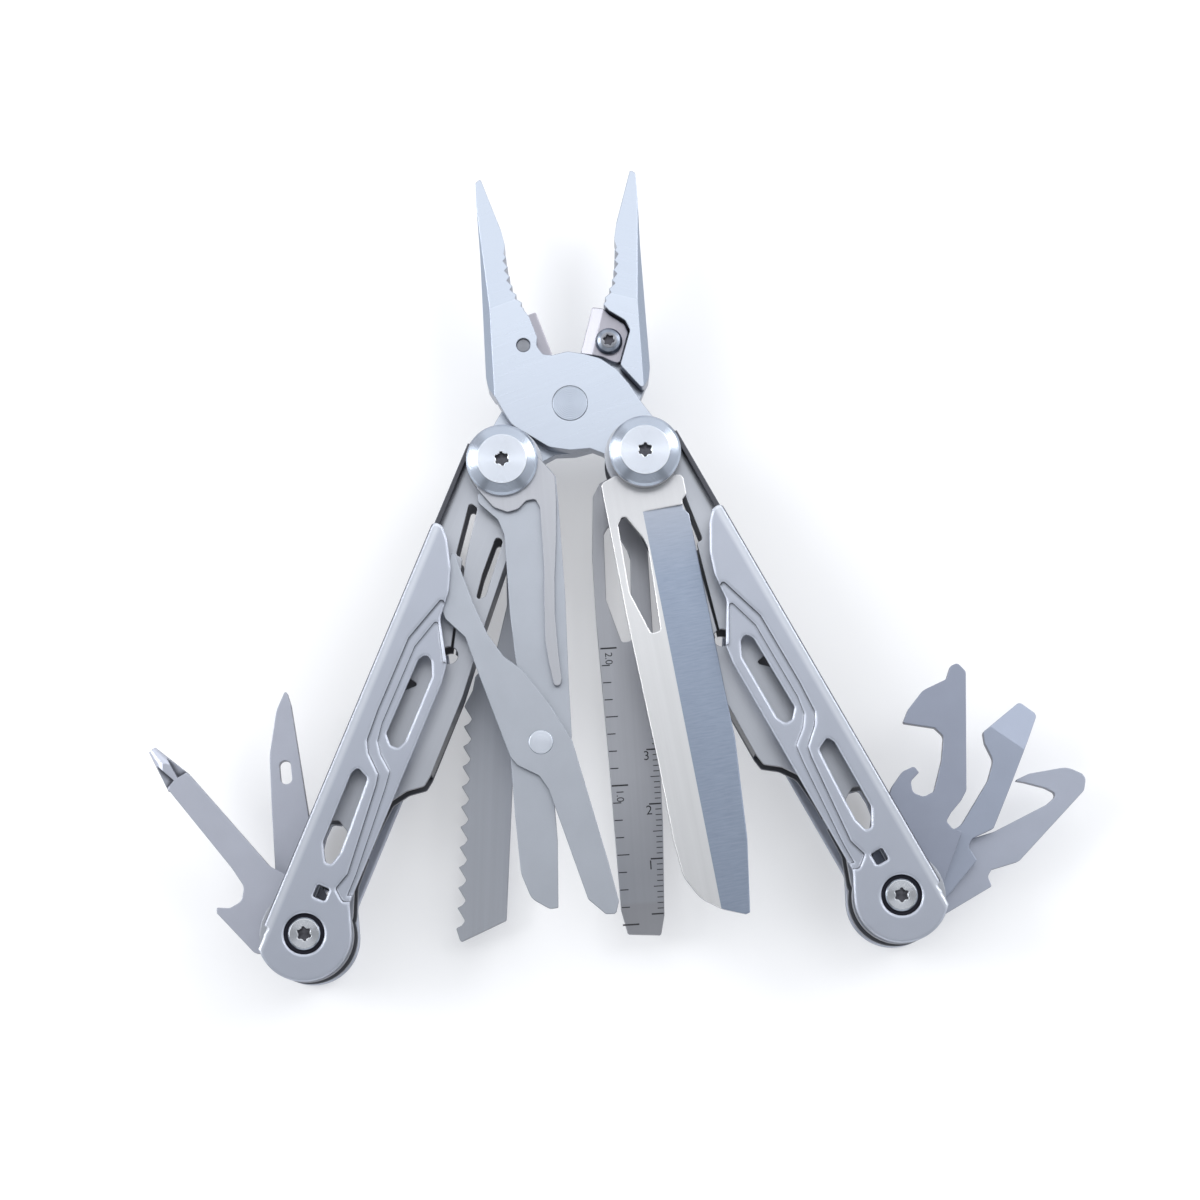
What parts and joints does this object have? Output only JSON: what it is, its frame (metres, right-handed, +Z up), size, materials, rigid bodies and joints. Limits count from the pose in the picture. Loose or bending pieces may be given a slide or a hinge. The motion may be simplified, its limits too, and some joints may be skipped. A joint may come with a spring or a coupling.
{
  "type": "folding multi tool",
  "caption": "Folding pliers multi tool opened flat, with knife, file and ruler, scissors, saw, openers, screwdrivers and awl fanned out of its two handles.",
  "frame": {"origin": "on the table, under the centre of the opened tool", "axes": "+X to the right handle's side and +Y towards the jaws as seen from above, +Z up from the table"},
  "size_m": [0.1695, 0.1502, 0.022],
  "materials": {
    "jaw_steel": "fine brushed, satin",
    "cutter_steel": "satin",
    "dark_screw": "satin, dark recess",
    "liner_steel": "satin",
    "scale_steel": "bead blasted",
    "bright_screw": "turned",
    "washer_steel": "satin",
    "blade_steel": "satin ground",
    "tool_steel": "bead blasted"
  },
  "bodies": {
    "front_jaw": {"front_jaw": "jaw_steel", "main_pivot_pin": "bright_screw", "rear_wire_cutter": "cutter_steel", "rear_cutter_screw": "dark_screw"},
    "rear_jaw": {"rear_jaw": "jaw_steel", "front_wire_cutter": "cutter_steel", "front_cutter_screw": "dark_screw"},
    "left_handle": {"left_frame": "liner_steel", "left_front_scale": "scale_steel", "left_rear_scale": "scale_steel", "left_pivot_bolt": "bright_screw", "left_pivot_nut": "bright_screw", "left_pivot_washers": "washer_steel", "left_end_bolt": "bright_screw", "left_end_nut": "bright_screw", "left_end_spacers": "washer_steel"},
    "right_handle": {"right_frame": "liner_steel", "right_front_scale": "scale_steel", "right_rear_scale": "scale_steel", "right_pivot_bolt": "bright_screw", "right_pivot_nut": "bright_screw", "right_pivot_washers": "washer_steel", "right_end_bolt": "bright_screw", "right_end_nut": "bright_screw", "right_end_spacers": "washer_steel"},
    "scissors": {"scissors_base": "blade_steel", "scissors_spring": "blade_steel", "scissors_rivet": "bright_screw"},
    "scissors_lever": {"scissors_lever": "blade_steel"},
    "wood_saw": {"wood_saw": "blade_steel"},
    "phillips_driver": {"phillips_driver": "tool_steel"},
    "awl": {"awl": "tool_steel"},
    "knife": {"knife": "blade_steel"},
    "file_ruler": {"file_ruler": "blade_steel"},
    "can_opener": {"can_opener": "tool_steel"},
    "flat_driver": {"flat_driver": "tool_steel"},
    "hook_opener": {"hook_opener": "tool_steel"}
  },
  "joints": [
    {"name": "jaw_hinge", "type": "hinge", "parent": "front_jaw", "child": "rear_jaw", "pos_m": [-0.0088, 0.0304, 0.011], "axis": [0, 0, 1], "range_deg": [-6, 34.4]},
    {"name": "left_handle_fold", "type": "hinge", "parent": "rear_jaw", "child": "left_handle", "pos_m": [-0.02104, 0.01855, 0.011], "axis": [0, 0, -1], "range_deg": [0, 157]},
    {"name": "right_handle_fold", "type": "hinge", "parent": "front_jaw", "child": "right_handle", "pos_m": [0.00487, 0.02023, 0.011], "axis": [0, 0, 1], "range_deg": [0, 157]},
    {"name": "scissors_fold", "type": "hinge", "parent": "left_handle", "child": "scissors", "pos_m": [-0.02104, 0.01855, 0.011], "axis": [0, 0, -1], "range_deg": [-34, 27]},
    {"name": "scissors_squeeze", "type": "hinge", "parent": "scissors", "child": "scissors_lever", "pos_m": [-0.01385, -0.03261, 0.011], "axis": [0, 0, -1], "range_deg": [0, 16], "stiffness_Nm_per_rad": 0.12},
    {"name": "saw_fold", "type": "hinge", "parent": "left_handle", "child": "wood_saw", "pos_m": [-0.02104, 0.01855, 0.011], "axis": [0, 0, -1], "range_deg": [-44, 20.4]},
    {"name": "phillips_fold", "type": "hinge", "parent": "left_handle", "child": "phillips_driver", "pos_m": [-0.0555, -0.06675, 0.011], "axis": [0, 0, -1], "range_deg": [-118, 62]},
    {"name": "awl_fold", "type": "hinge", "parent": "left_handle", "child": "awl", "pos_m": [-0.0555, -0.06675, 0.011], "axis": [0, 0, -1], "range_deg": [-153, 27]},
    {"name": "knife_fold", "type": "hinge", "parent": "right_handle", "child": "knife", "pos_m": [0.00487, 0.02023, 0.011], "axis": [0, 0, 1], "range_deg": [-45, 18.5]},
    {"name": "file_fold", "type": "hinge", "parent": "right_handle", "child": "file_ruler", "pos_m": [0.00487, 0.02023, 0.011], "axis": [0, 0, 1], "range_deg": [-36, 26]},
    {"name": "can_opener_fold", "type": "hinge", "parent": "right_handle", "child": "can_opener", "pos_m": [0.05003, -0.05992, 0.011], "axis": [0, 0, 1], "range_deg": [-137, 43]},
    {"name": "flat_driver_fold", "type": "hinge", "parent": "right_handle", "child": "flat_driver", "pos_m": [0.05003, -0.05992, 0.011], "axis": [0, 0, 1], "range_deg": [-116, 64]},
    {"name": "hook_opener_fold", "type": "hinge", "parent": "right_handle", "child": "hook_opener", "pos_m": [0.05003, -0.05992, 0.011], "axis": [0, 0, 1], "range_deg": [-94, 86]}
  ]
}
